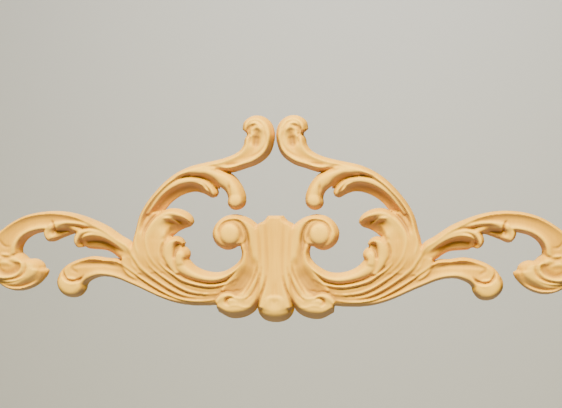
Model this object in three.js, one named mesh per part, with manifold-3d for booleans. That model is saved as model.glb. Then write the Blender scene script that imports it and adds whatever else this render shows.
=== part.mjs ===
// Carved rococo crest for a cabinet or mirror: a shell between two leafy wings of C- and S-scrolls.
// Millimetres. X runs to the right and Z up, the carved face looks along -Y, and the flat back lies
// in the plane Y = 0. The origin is on the back, behind the middle of the shell.
import * as THREE from 'three';
import { mergeVertices } from 'three/addons/utils/BufferGeometryUtils.js';
import Module from 'manifold-3d';

// Driving dimensions
const width = 400;
const height = 141;
const depth = 16;
const edge = 3;

// The carver's full-size pattern of one wing, drawn in millimetres as [out from the middle, up]
const patternHalfWidth = 203;
const patternHeight = 142.9;
const patternDepth = 16;

// How far the slope runs from the square edge up to the carving, at a limb's outer and inner side
const slope = [2.2, 3.2];
const widestSlopeShare = 0.36;
const stepsBetweenPoints = 0.82;
const bossFacet = 7.4;
const gougeStep = 6;
const gougeShoulder = 3;
const gougeFlare = 1.35;
const gougeFloorShare = 0.45;
const gougeClearance = 4;
const narrowestSpan = 0.8;
const sawAllowance = 2;

// How levels run across a limb, as [share of the width, share of the rise], from outer to inner side
const rolled = [[0, 0.84], [0.33, 1], [0.67, 1], [1, 0.84]];
const trunk = [[0, 0.9], [0.12, 1], [0.34, 0.96], [0.58, 0.91], [0.84, 0.9], [1, 0.86]];
const plain = [[0, 0.96], [0.12, 0.99], [0.5, 1], [0.88, 0.99], [1, 0.96]];
const core = [[0, 1], [1, 1]];
const flute = [[0, 1], [0.1, 0.9], [0.34, 0.75], [0.6, 0.78], [0.92, 0.95], [1, 0.97]];
const fluteEnd = [[0, 0.96], [0.1, 0.98], [0.3, 0.9], [0.6, 0.88], [0.9, 0.96], [1, 0.94]];
const shelf = [[0, 0.9], [0.12, 1], [0.42, 0.94], [0.58, 0.7], [0.8, 0.58], [1, 0.52]];
const leafSide = [[0, 0.9], [0.14, 0.98], [0.46, 1], [0.6, 0.74], [0.8, 0.52], [1, 0.4]];
const leafCurl = [[0, 0.8], [0.16, 1], [0.34, 0.62], [0.5, 0.88], [0.68, 0.56], [1, 0.46]];
const reedHigh = [[0, 0.92], [0.14, 1], [0.3, 0.91], [0.52, 0.84], [0.8, 0.82], [1, 0.8]];
const reedLow = reedHigh.map(([share, level]) => [1 - share, level]).reverse();
const channel = [[0, 0.9], [0.1, 0.96], [0.36, 0.88], [0.54, 0.87], [0.86, 0.96], [1, 1]];
const bowl = [[0, 0.78], [0.2, 0.8], [0.42, 0.84], [0.6, 0.98], [0.78, 0.94], [1, 0.84]];
const cheekTop = [[0, 0.98], [0.3, 1], [0.46, 0.95], [0.62, 0.8], [0.8, 0.67], [1, 0.62]];
const cheekLow = [[0, 0.98], [0.3, 1], [0.5, 0.93], [0.72, 0.8], [0.92, 0.94], [1, 0.88]];
const basin = [[0, 0.98], [0.16, 0.96], [0.36, 0.78], [0.56, 0.7], [0.84, 0.74], [1, 0.8]];
const crescent = [[0, 0.82], [0.2, 0.97], [0.45, 1], [0.75, 0.98], [0.92, 0.9], [1, 0.8]];

// Limbs: a band lies between two rails whose points face each other one by one. Rise is the height of
// its crest from end to end, and flanks gives its own slopes where the usual ones don't suit.
const bands = {
  shellBody: {
    outer: [[5.4, 36.7], [6.4, 35.2], [8.8, 32.8], [12, 31.2], [15, 27], [15.4, 20], [14.6, 10], [13.4, 0],
      [12.6, -10], [12.8, -20], [13, -27]],
    inner: [[-5.4, 36.7], [-6.4, 35.2], [-8.8, 32.8], [-12, 31.2], [-15, 27], [-15.4, 20], [-14.6, 10], [-13.4, 0],
      [-12.6, -10], [-12.8, -20], [-13, -27]],
    rise: [12, 12.2, 12.2, 12.4, 13],
    profiles: [plain],
    flanks: [[2, 2]],
  },
  shellFlank: {
    outer: [[14, 18], [13, 6], [13, -4], [16, -11], [20, -16.5], [26, -17.8], [32, -15.6], [38, -16.2],
      [41.9, -20.8]],
    inner: [[2, 18], [5, 6], [7.4, -6], [9.4, -16], [12, -25], [15, -30.2], [22, -34.2], [31.4, -35], [40.4, -30.6]],
    rise: [11, 11.5, 12, 12, 13, 13],
    profiles: [trunk],
    flanks: [[2, 2], [2, 2], [2, 2], [2, 4], [2, 5.5], [2, 5.5]],
  },
  cheek: {
    outer: [[22, 36.4], [16.4, 33.4], [11, 28], [8, 18], [7, 9], [8, 0], [13, -9], [20, -16]],
    inner: [[25.5, 30], [25.6, 26], [25.4, 20.4], [24.4, 15], [23.7, 11], [25, 5.4], [29.5, -2], [35, -8]],
    rise: [12, 12.2, 12.2, 12.2, 12.2, 12, 11.8, 11.4],
    profiles: [cheekTop, cheekTop, cheekTop, cheekLow, cheekLow, basin, basin],
    flanks: [[2.2, 1], [2.2, 1], [2, 1.4], [2, 2.4], [2, 2.6], [2, 2]],
  },
  stemCore: {
    outer: [[22, 10], [31, 0], [44, -4], [57, 0], [66, 8], [76, 18], [85, 29]],
    inner: [[24, -20], [34, -24.6], [46, -25.6], [60, -25.6], [76, -22.2], [92, -16], [104, -9]],
    rise: [8.5, 9.4, 9.4, 9.4, 9.8, 9.8],
    profiles: [rolled],
  },
  trunkCore: {
    outer: [[99, -4], [103.4, 8], [101.4, 16.6], [98.4, 25], [94, 33], [90, 39]],
    inner: [[78, -2], [79, 10], [79, 20], [79, 29], [80, 35], [81, 38.6]],
    rise: [10, 10.4, 10.2, 9, 4],
    profiles: [core],
  },
  crotchCore: {
    outer: [[88, 4], [96, 9], [103, 11], [108, 9.4]],
    inner: [[88, -16], [97, -11], [104, -7], [109.6, 1]],
    rise: [5, 9.6, 10],
    profiles: [core],
  },
  lobeStem: {
    outer: [[22, 13], [25, 5.8], [30.5, 1], [37, -2.3], [44, -3], [51, -1.6], [57, 1.4], [61, 5.6], [64, 11]],
    inner: [[17, 6], [19, -1], [26, -5.4], [35, -9], [44, -10.4], [53, -9.4], [61, -7.2], [70, -2.8], [77.6, 4.4]],
    rise: [11.5, 12.5, 12.5, 12.5, 11.8],
    profiles: [rolled],
  },
  lobeTwo: {
    outer: [[72, -4], [76.4, 1], [79.2, 7], [79.6, 13], [77.6, 18.4], [74.4, 21.4], [70, 22.4], [66, 20.6],
      [64, 17.6]],
    inner: [[66, -3], [69, 2], [70.4, 7.4], [70.8, 11.6], [70.4, 15.4], [69.4, 17.4], [68, 18], [66.4, 17.4],
      [65, 16]],
    rise: [11.6, 12.6, 13, 13, 11.4],
    profiles: [crescent],
    flanks: [[1.8, 1]],
  },
  arch: {
    outer: [[40, -18.4], [50, -19], [60, -18], [70, -14.4], [79, -9.2], [87, -3.2], [94, 4], [99, 12], [100.8, 18.5],
      [99, 26], [96, 37], [91, 46], [85, 53.5], [78, 60.7], [70, 66.6], [60, 71.3], [50, 73.8], [42, 75.4]],
    inner: [[40, -15.6], [49, -16.4], [58, -14.8], [67, -11], [76, -5.2], [83, -0.2], [88, 6], [90.5, 14],
      [91.5, 21], [90.5, 28], [87, 36], [82, 42], [76, 49], [70, 55], [62, 59.5], [53, 61.5], [45, 60], [40, 58]],
    rise: [10.5, 11.2, 11.6, 12.6, 13.2, 13.5, 13.5, 12],
    profiles: [reedLow, reedLow, reedLow, trunk, shelf, shelf, shelf],
  },
  archLeaf: {
    outer: [[93, 38], [88, 48], [82, 55], [75, 60], [66, 63.6], [56, 64.2], [48, 61.6], [42.4, 57], [40.3, 53],
      [41.6, 50.2]],
    inner: [[84, 37.5], [78.7, 41], [74.5, 45.6], [69.5, 49.4], [63, 52.4], [56, 53.5], [50.5, 52.2], [47, 50.4],
      [45.4, 49.5], [44, 49.2]],
    rise: [10, 11.5, 11.5, 11, 10],
    profiles: [leafSide, leafSide, leafSide, leafCurl, leafCurl],
  },
  drop: {
    outer: [[56, 72], [47, 71.8], [38, 69.4], [29.5, 65.1], [25, 59.8], [22, 54], [20.9, 49], [22, 44.2], [25, 41.3]],
    inner: [[60, 65], [50, 65.6], [43, 62.6], [38.5, 57.6], [35.4, 54.4], [33.6, 51], [33, 47.6], [32.6, 44],
      [29.5, 41.1]],
    rise: [13, 13, 12.5, 12, 8],
    profiles: [rolled],
  },
  neck: {
    outer: [[64, 69.4], [54, 72.7], [45, 74.8], [36, 77], [29, 79.6], [24.6, 82.5], [22, 86.4], [21.2, 90.4],
      [19.6, 92.8], [18.2, 94], [17.2, 94.4], [16.4, 94.2], [16.2, 93.2], [17, 92.2]],
    inner: [[62, 64], [52, 66.6], [42, 67], [31, 66.8], [21, 69.7], [12, 73], [4.6, 79], [1.3, 87], [0.6, 94],
      [3, 101.4], [8.8, 105.9], [15.8, 106.2], [21.6, 102.4], [22.9, 97]],
    rise: [13, 12.5, 12.5, 13, 13.5, 13.5, 13],
    profiles: [trunk, trunk, channel, channel, channel, bowl, bowl, bowl],
    flanks: [[2, 3.2], [2, 5], [2, 4.6], [1.6, 3.6], [1, 2.6]],
  },
  arm: {
    outer: [[46, -18.6], [56, -18.8], [66, -16.4], [76, -11.2], [85, -4.8], [93, 2.6], [98.6, 11], [102.5, 17.9],
      [110, 22.6], [120, 29.3], [130, 33.9], [140, 37.4], [150, 39.5], [160, 40], [170, 39], [180, 36.2],
      [190, 30.7], [198, 24], [202.4, 16], [203, 8]],
    inner: [[46, -20.6], [56, -21.2], [66, -20], [76, -15.8], [85, -10.8], [93, -5.6], [101, -0.6], [106, 3],
      [110.7, 6.6], [118, 13], [127, 18], [137, 23], [148, 25.5], [158, 25.6], [166, 25.2], [174, 23],
      [179.6, 19], [182.4, 14], [182.6, 10], [183.5, 5]],
    rise: [10, 10.8, 11.6, 12.8, 13.4, 13.8, 14, 13.5, 12.5],
    profiles: [reedHigh, reedHigh, reedHigh, trunk, shelf, shelf, flute, flute, flute, flute, fluteEnd],
    flanks: [[2, 2], [2, 2], [2, 3], [1.6, 5], [1.6, 5.2], [1.6, 4]],
  },
  armLeafTwo: {
    outer: [[100, 14], [108, 20], [116, 25], [124, 28.6], [132, 29.6], [138.6, 28.2], [142.4, 24], [143.5, 19.6],
      [142, 16], [139.6, 14.5]],
    inner: [[103, 4], [110.7, 6.6], [115, 9.8], [120, 12.2], [125.5, 12.9], [130, 13.2], [133, 13.6], [134.6, 14.6],
      [136.4, 14.8], [138, 14.4]],
    rise: [12, 13, 13.5, 13.5, 12],
    profiles: [trunk, leafSide, leafSide, leafCurl, leafCurl],
  },
  armLeafOne: {
    outer: [[126, 32], [134, 33.6], [142, 34.6], [150, 34.8], [157, 33.8], [162.6, 31], [165.2, 26], [164, 21.2],
      [161.6, 18.9]],
    inner: [[124, 22], [131, 23], [138, 24], [144, 24], [149, 22.4], [152.6, 21], [155, 20], [157, 19], [159.2, 18.3]],
    rise: [12, 13.5, 14, 13.5, 11.5],
    profiles: [leafSide, leafSide, leafCurl, leafCurl],
  },
  branch: {
    outer: [[40, -19.5], [50, -21], [60, -21], [70, -19], [80, -14], [89, -8.8], [97, -3.6], [104, 1], [111.5, 6.2],
      [120, 6.8], [130, 8], [138, 6.5], [145, 4], [151, 0], [155, -5.4]],
    inner: [[40, -25.8], [50, -26.4], [60, -26.2], [70, -24.7], [80, -21.5], [89, -17.6], [97, -13.9], [104, -11],
      [110, -8.5], [117, -6.7], [124, -6.4], [129.4, -8], [133.6, -10.4], [135.4, -13], [137.4, -16]],
    rise: [9.6, 10.4, 11, 11.2, 11.5, 11, 11],
    profiles: [reedHigh, reedHigh, flute, flute, flute, fluteEnd, fluteEnd],
    flanks: [[2, 2.6], [1.7, 4], [1.7, 4.4]],
  },
  leaf: {
    outer: [[28, -12], [36, -14.8], [46, -16.6], [56, -15.6], [66, -11.8], [76, -5.4], [85, 1.6], [91, 12],
      [92.5, 23], [88.5, 31.6], [83, 37.6], [77, 41.3], [71, 41.9], [65.5, 40.6], [61, 38], [58.4, 34.6], [58, 32]],
    inner: [[26, -4], [34, -8.4], [44, -10.4], [54, -9.2], [63, -6.6], [71, -2], [77.5, 3.4], [79.6, 9],
      [79, 15.5], [76.6, 20], [72.6, 22.8], [69.4, 25.3], [66.6, 26.9], [64.2, 27.9], [62.2, 28.5], [60.6, 29.1],
      [59.4, 30]],
    rise: [10.5, 11.8, 12, 12.5, 13, 13.5, 12.5],
    profiles: [reedLow, reedLow, reedLow, trunk, leafCurl, leafCurl],
  },
};

// Knobs, curls and lobes: a boss rises inside a closed outline round its heart
const bosses = {
  basinCore: {
    heart: [22, -10],
    outline: [[12, 2], [20, 7], [27, 1], [37, -6], [38, -16], [32, -26], [20, -27], [11, -18], [9, -8]],
    rise: 8.4,
    rings: [[0, 1], [0.8, 1]],
  },
  shellFoot: {
    heart: [0, -23],
    outline: [[12.8, -25], [12, -31], [8.8, -35.2], [3.6, -37.3], [-3.6, -37.3], [-8.8, -35.2], [-12, -31],
      [-12.8, -25], [-10, -17], [0, -14], [10, -17]],
    rise: 13.8,
    rings: [[0, 0.94], [0.4, 1], [0.62, 0.92], [0.8, 0.7]],
  },
  volute: {
    heart: [31, 24],
    outline: [[26, 37.4], [32.5, 37], [38, 34.8], [42, 30.6], [44.2, 25], [43.2, 19.6], [39.6, 15], [34, 12.8],
      [28.6, 14.4], [23, 15.5], [18, 20], [16, 28], [20, 35]],
    rise: 12.5,
    rings: [[0, 0.66], [0.55, 0.66], [0.7, 0.84], [0.86, 1]],
  },
  eye: {
    heart: [31, 24.6],
    outline: [[31, 32.4], [36, 30.8], [38.8, 26], [38, 19.6], [33.4, 15.4], [27.8, 16], [24.4, 20.6], [24.8, 28]],
    rise: 15.5,
    rings: [[0, 1], [0.5, 0.95], [0.8, 0.78]],
  },
  scrollFloor: {
    heart: [13, 93],
    outline: [[20, 97], [17, 102], [9, 102], [4, 95], [5, 87], [12, 83], [18.6, 87], [19.4, 91.6]],
    rise: 10,
    rings: [[0, 0.96], [0.8, 1]],
  },
  dropBall: {
    heart: [27.2, 47.5],
    outline: [[20.9, 48], [21.8, 44], [24.6, 41.5], [28.3, 40.7], [31.5, 42], [33.4, 45], [33, 49], [30.5, 54],
      [24, 54]],
    rise: 13,
    rings: [[0, 1], [0.5, 0.94], [0.8, 0.7]],
  },
  lobeFloor: {
    heart: [69, 14],
    outline: [[70, 22], [65.4, 19], [64.6, 15], [63, 10], [64, 2], [72, 1], [78, 8], [78, 17]],
    rise: 6.4,
    rings: [[0, 1], [0.8, 1]],
  },
  lobeThree: {
    heart: [67, 8.6],
    outline: [[66, 15.3], [63, 14.2], [61, 11.6], [60.8, 8.6], [62.4, 4.6], [61.6, -1], [69, -3], [70.8, 3],
      [70.8, 9], [69.4, 13]],
    rise: 13.2,
    rings: [[0, 1], [0.45, 0.98], [0.8, 0.68]],
  },
  hook: {
    heart: [193, 2.5],
    outline: [[203, 8], [204, 1], [202, -6], [197.5, -12], [191, -15.6], [184.5, -16.8], [177.5, -15.7],
      [171, -12.4], [166.4, -8.2], [164, -4.8], [163.4, -2], [165.6, -0.6], [166.6, 2.2], [169.4, 4.8],
      [173.4, 6.1], [177.4, 6], [180, 8.4], [184, 11], [195, 12.5]],
    rise: 13.5,
    rings: [[0, 0.94], [0.28, 0.84], [0.42, 0.98], [0.5, 0.8], [0.6, 0.94], [0.86, 0.72], [0.93, 0.74]],
  },
  branchBall: {
    heart: [146, -12],
    outline: [[156.2, -8], [156, -13.4], [153.4, -17.6], [149.4, -20.4], [145, -21.3], [140.6, -20.6],
      [137.4, -18], [135.4, -14], [136.4, -9], [141, -5], [148, -3.6], [153.4, -3.6]],
    rise: 13,
    rings: [[0, 1], [0.5, 0.95], [0.8, 0.74]],
  },
};

// The forms that straddle the middle are made once, the others on both sides
const onTheMiddle = ['shellBody', 'shellFoot'];

// Strokes of the gouge: floor is how high the bottom of the cut lies, from end to end
const gouges = {
  shellParting: { path: [[13.4, -33], [11.6, -24], [8, -11]], wide: [5, 3, 1.5], floor: [4, 7.4, 12] },
  shellFlank: { path: [[21, -20], [14.6, -12], [11.4, -3], [10, 5]], wide: [2, 2.6, 1.6], floor: [11.5, 10, 12] },
  shellBasin: { path: [[15, -2], [17.6, -9], [22, -14.6], [28, -16.6]], wide: [2, 4.4, 3], floor: [11.6, 8, 9.4] },
  heelCurl: { path: [[27, -21], [30, -20], [33, -20.8], [33.4, -24.6]], wide: [1.6, 3.6, 2], floor: [11.5, 9, 11.5] },
  hookStart: { path: [[201, 11.4], [192, 8], [184, 9.8]], wide: [3, 3.4, 2], floor: [7, 8, 11] },
};

const wasm = await Module();
wasm.setup();

const point = ([out, up]) => new THREE.Vector3(out, 0, up);
const railOf = (points, closed = false) => new THREE.CatmullRomCurve3(points.map(point), closed, 'centripetal');
const clamp = THREE.MathUtils.clamp;
const mix = THREE.MathUtils.lerp;

// A value that runs smoothly through evenly spaced ones
function along(values, t) {
  if (values.length === 1) {
    return values[0];
  }
  const place = clamp(t, 0, 1) * (values.length - 1);
  const first = Math.min(Math.floor(place), values.length - 2);
  const eased = THREE.MathUtils.smoothstep(place - first, 0, 1);
  return mix(values[first], values[first + 1], eased);
}

// A level across the limb, blended between the profiles set along it
function profileAt(profiles, t) {
  return profiles[0].map((unused, i) => [
    along(profiles.map((profile) => profile[i][0]), t),
    along(profiles.map((profile) => profile[i][1]), t),
  ]);
}

// A closed solid from rings of [out, up, level]: a skin between neighbours and a cap on each end
function loft(rings) {
  const count = rings[0].length;
  const corners = rings.flat();
  const faces = [];
  for (let i = 0; i + 1 < rings.length; i += 1) {
    for (let j = 0; j < count; j += 1) {
      const a = i * count + j;
      const b = i * count + (j + 1) % count;
      faces.push([a, b, b + count], [a, b + count, a + count]);
    }
  }
  for (const [start, ring] of [[0, rings[0]], [corners.length - count, rings[rings.length - 1]]]) {
    const [first, last] = [point(ring[0]), point(ring[count - 1])];
    const flat = ring.map((corner) => new THREE.Vector2(first.distanceTo(point(corner)), corner[2]));
    const facing = Math.sign(THREE.ShapeUtils.area(flat)) * (start === 0 ? -1 : 1);
    for (const [a, b, c] of THREE.ShapeUtils.triangulateShape(flat, [])) {
      const turn = Math.sign(THREE.ShapeUtils.area([flat[a], flat[b], flat[c]]));
      faces.push(turn === facing ? [start + a, start + b, start + c] : [start + a, start + c, start + b]);
    }
  }
  return { corners, faces };
}

function band({ outer, inner, rise, profiles, flanks = [slope] }) {
  const steps = Math.round((outer.length - 1) * stepsBetweenPoints);
  const sides = [outer, inner].map((points) => railOf(points).getPoints(steps));
  const rings = sides[0].map((near, i) => {
    const far = sides[1][i];
    const span = Math.max(near.distanceTo(far), narrowestSpan);
    const [start, end] = [0, 1].map((side) => {
      const reach = along(flanks.map((flank) => flank[side]), i / steps);
      return Math.abs(side - Math.min(reach / span, widestSlopeShare));
    });
    const top = along(rise, i / steps);
    const levels = profileAt(profiles, i / steps)
      .map(([share, level]) => [mix(start, end, share), Math.max(level * top, edge)]);
    const section = [[0, -sawAllowance], [0, edge], ...levels, [1, edge], [1, -sawAllowance]];
    return section.map(([share, level]) => [mix(near.x, far.x, share), mix(near.z, far.z, share), level]);
  });
  return loft(rings);
}

function boss({ heart, outline, rise, rings }) {
  const rim = railOf(outline, true);
  const sides = Math.max(10, Math.round(rim.getLength() / bossFacet));
  const round = rim.getSpacedPoints(sides).slice(0, sides);
  const corners = [[...heart, -sawAllowance], [...heart, rings[0][1] * rise]];
  const faces = [];
  const levels = [...rings.slice(1).map(([share, level]) => [share, level * rise]), [1, edge], [1, -sawAllowance]];
  for (const [share, level] of levels) {
    for (const { x, z } of round) {
      corners.push([mix(heart[0], x, share), mix(heart[1], z, share), level]);
    }
  }
  for (let j = 0; j < sides; j += 1) {
    const next = (j + 1) % sides;
    faces.push([1, 2 + j, 2 + next]);
    for (let ring = 0; ring + 1 < levels.length; ring += 1) {
      const a = 2 + ring * sides + j;
      const b = 2 + ring * sides + next;
      faces.push([a, a + sides, b + sides], [a, b + sides, b]);
    }
    const last = 2 + (levels.length - 1) * sides;
    faces.push([0, last + next, last + j]);
  }
  return { corners, faces };
}

// The cutter is as deep as the blank, widest above the work and rounded at its floor
function gouge({ path, wide, floor }) {
  const route = railOf(path);
  const steps = Math.max(3, Math.round(route.getLength() / gougeStep));
  const above = patternDepth + gougeClearance;
  const rings = route.getSpacedPoints(steps).map((middle, i) => {
    const heading = route.getTangentAt(i / steps);
    const reach = along(wide, i / steps) / 2;
    const low = along(floor, i / steps);
    const shoulder = low + gougeShoulder;
    const half = [[gougeFlare, above], [1, shoulder], [gougeFloorShare, low]];
    const section = [...half.map(([share, level]) => [-share, level]), ...half.reverse()];
    return section.map(([share, level]) => [
      middle.x + heading.z * reach * share,
      middle.z - heading.x * reach * share,
      level,
    ]);
  });
  return loft(rings);
}

// The pattern's [out, up, level] becomes X, Z and -Y on the chosen side of the middle
function solidOf({ corners, faces }, side) {
  const vertProperties = new Float32Array(corners.flatMap(([out, up, level]) => [
    side * out * width / (2 * patternHalfWidth),
    -level * depth / patternDepth,
    up * height / patternHeight,
  ]));
  const corner = (i) => new THREE.Vector3().fromArray(vertProperties, 3 * i);
  const volume = faces.reduce((sum, [a, b, c]) => sum + corner(a).dot(corner(b).cross(corner(c))), 0);
  const triVerts = new Uint32Array(faces.flatMap(([a, b, c]) => (volume > 0 ? [a, b, c] : [a, c, b])));
  return new wasm.Manifold(new wasm.Mesh({ numProp: 3, vertProperties, triVerts }));
}

// The wood behind the back, which the saw takes off flat
function behindTheBack() {
  const slab = new THREE.BoxGeometry(2 * width, depth, 2 * height);
  slab.translate(0, depth / 2, 0);
  slab.deleteAttribute('normal');
  slab.deleteAttribute('uv');
  const { attributes, index } = mergeVertices(slab);
  return new wasm.Manifold(new wasm.Mesh({
    numProp: 3,
    vertProperties: attributes.position.array,
    triVerts: new Uint32Array(index.array),
  }));
}

function applique() {
  let carving = solidOf(band(bands.shellBody), 1);
  for (const side of [-1, 1]) {
    for (const [name, limb] of [...Object.entries(bands), ...Object.entries(bosses)]) {
      if (side === 1 || !onTheMiddle.includes(name)) {
        carving = carving.add(solidOf(limb.outline ? boss(limb) : band(limb), side));
      }
    }
  }
  for (const side of [-1, 1]) {
    for (const stroke of Object.values(gouges)) {
      carving = carving.subtract(solidOf(gouge(stroke), side));
    }
  }
  return carving.subtract(behindTheBack());
}

const { vertProperties, triVerts } = applique().getMesh();
const geometry = new THREE.BufferGeometry();
geometry.setAttribute('position', new THREE.BufferAttribute(vertProperties, 3));
geometry.setIndex(new THREE.BufferAttribute(triVerts, 1));
geometry.computeVertexNormals();

const wood = new THREE.MeshStandardMaterial({ color: 0xdcb67e, roughness: 0.6, metalness: 0 });
const mesh = new THREE.Mesh(geometry, wood);
mesh.name = 'applique';
const group = new THREE.Group();
group.add(mesh);
export default group;
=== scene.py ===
# %% [markdown]
# # A carved rococo crest
# The object is a wooden crest for a cabinet or a mirror: a fluted shell in the middle, and on each
# side a wing of S-scrolls and C-scrolls that ends in leaves, balls and a hooked volute. The packed
# model gives its true size and place. This lesson dresses it with the carver's finer work: the hollow
# flutes, the lips and curls of the leaves, the thin parting lines and the wood itself.

# %% Load the frame
import math

import bpy
import numpy as np
from mathutils import Matrix, Vector
from mathutils.bvhtree import BVHTree
from mathutils.geometry import tessellate_polygon


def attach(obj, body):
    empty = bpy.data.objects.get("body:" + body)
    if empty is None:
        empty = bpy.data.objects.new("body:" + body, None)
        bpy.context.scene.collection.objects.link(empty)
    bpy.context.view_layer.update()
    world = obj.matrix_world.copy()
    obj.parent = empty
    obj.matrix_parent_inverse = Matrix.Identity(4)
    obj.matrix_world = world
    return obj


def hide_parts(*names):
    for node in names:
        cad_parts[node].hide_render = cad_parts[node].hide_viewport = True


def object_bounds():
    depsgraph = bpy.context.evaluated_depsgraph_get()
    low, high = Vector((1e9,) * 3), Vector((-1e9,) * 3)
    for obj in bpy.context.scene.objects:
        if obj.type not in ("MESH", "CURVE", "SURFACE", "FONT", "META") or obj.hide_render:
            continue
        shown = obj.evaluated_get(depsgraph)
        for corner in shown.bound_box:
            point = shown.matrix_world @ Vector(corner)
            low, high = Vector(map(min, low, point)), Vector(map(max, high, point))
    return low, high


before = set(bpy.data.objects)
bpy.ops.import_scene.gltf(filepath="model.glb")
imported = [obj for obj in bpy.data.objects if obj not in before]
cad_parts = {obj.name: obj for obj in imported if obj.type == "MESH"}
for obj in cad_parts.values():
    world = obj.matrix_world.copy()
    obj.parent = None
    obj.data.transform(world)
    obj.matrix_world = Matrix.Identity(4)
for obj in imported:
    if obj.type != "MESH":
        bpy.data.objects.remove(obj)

cad_low, cad_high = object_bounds()

# %% [markdown]
# ## The pattern
# A carver draws one wing full size on paper and turns the sheet over for the other. All numbers below
# are that drawing, in millimetres: [out from the middle, up from the shell's heart], and a level above
# the flat back. A band is a limb between two rails whose points face each other. Its profiles say how
# the level runs from the outer rail to the inner one, as [share of the width, share of the rise].
# Its flanks say over how many millimetres each side climbs from the sawn edge. A boss is a knob: rings
# run from its heart to its outline.

# %% Sizes of the pattern
MM = 0.001
PATTERN_HALF_WIDTH = 203.0
PATTERN_HEIGHT = 142.9
WIDTH = 400.0
HEIGHT = 141.0
OUT_SCALE = WIDTH / (2 * PATTERN_HALF_WIDTH)
UP_SCALE = HEIGHT / PATTERN_HEIGHT
EDGE = 3.0
SLOPE = (2.2, 3.2)
NARROWEST_SPAN = 0.8
CELL = 0.51
GRID_OUT = 206
GRID_DOWN = -40
GRID_UP = 108
print("pattern scale", round(OUT_SCALE, 4), "out and", round(UP_SCALE, 4), "up")

# %% Profiles across a limb
ROLLED = [(0, .84), (.25, .97), (.5, 1), (.75, .97), (1, .84)]
CORE = [(0, 1), (.5, 1), (1, 1)]
RIM = [(0, .92), (.12, 1), (.3, .98), (.55, .86), (.8, .74), (1, .68)]
RIM_FLAT = [(0, .86), (.3, .98), (.6, 1), (.85, .98), (1, .94)]
RIM_UNDER = [(0, .64), (.3, .76), (.6, .8), (1, .78)]
BASIN = [(0, .98), (.14, .99), (.24, .93), (.36, .79), (.5, .71), (.68, .71), (.85, .82), (1, .94)]
BASIN_START = [(0, .98), (.14, .99), (.24, .96), (.36, .88), (.5, .83), (.68, .83), (.85, .9), (1, .95)]
CRESCENT = [(0, .82), (.15, .96), (.4, 1), (.72, .99), (.9, .93), (1, .84)]
ROLLED_LONG = [(0, .9), (.1, .98), (.3, 1), (.6, .99), (1, .84)]
TRUNK = [(0, .9), (.08, 1), (.22, .97), (.48, .93), (.66, .93), (.84, .94), (1, .88)]
FLUTE = [(0, 1), (.035, 1), (.12, .93), (.24, .87), (.42, .83), (.6, .83), (.78, .88), (.92, .95), (1, .97)]
FLUTE_END = [(0, .96), (.06, 1), (.16, .96), (.32, .91), (.5, .88), (.7, .89), (.9, .95), (1, .94)]
SHELF = [(0, .88), (.1, .97), (.2, 1), (.31, .99), (.37, .92), (.45, .78), (.6, .66), (.8, .58), (1, .52)]
SHELF_WIDE = [(0, .86), (.1, .95), (.28, 1), (.5, .99), (.56, .92), (.63, .78), (.75, .66), (.88, .6),
              (1, .54)]
SHELF_END = [(0, .86), (.1, .95), (.3, 1), (.66, .99), (.73, .92), (.8, .78), (.88, .68), (1, .6)]
LEAF_END = [(0, .84), (.2, .97), (.42, 1), (.54, .94), (.64, .86), (.74, .93), (.87, .9), (1, .72)]
SHELF_START = [(0, .9), (.1, 1), (.2, .97), (.3, .9), (.4, .8), (.6, .68), (.8, .58), (1, .5)]
LEAF_CURL = [(0, .9), (.12, 1), (.28, .99), (.37, .91), (.47, .73), (.6, .59), (.8, .5), (1, .45)]
LEAF_SIDE = [(0, .9), (.1, .97), (.3, .99), (.46, 1), (.54, .88), (.68, .64), (.84, .5), (1, .4)]
ARM_SIDE = [(0, .9), (.06, 1), (.2, .99), (.34, 1), (.42, .88), (.56, .68), (.74, .58), (1, .5)]
REED_HIGH = [(0, .9), (.12, 1), (.24, .95), (.44, .86), (.62, .84), (.82, .84), (1, .8)]
REED_LOW = [(1 - share, level) for share, level in reversed(REED_HIGH)]
CHANNEL = [(0, .9), (.08, .96), (.25, .91), (.5, .87), (.72, .9), (.9, .97), (1, 1)]
BOWL = [(0, .78), (.2, .8), (.4, .82), (.56, .93), (.66, 1), (.8, .94), (.9, .96), (1, .84)]
CHEEK_TOP = [(0, .98), (.28, 1), (.4, .98), (.52, .9), (.66, .76), (.82, .66), (1, .62)]
CHEEK = [(0, .98), (.3, 1), (.44, .98), (.58, .88), (.72, .8), (.84, .86), (.93, .94), (1, .88)]
SHELL = [(0, .96), (.1, .99), (.3, .985), (.5, 1), (.7, .985), (.9, .99), (1, .96)]

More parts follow.
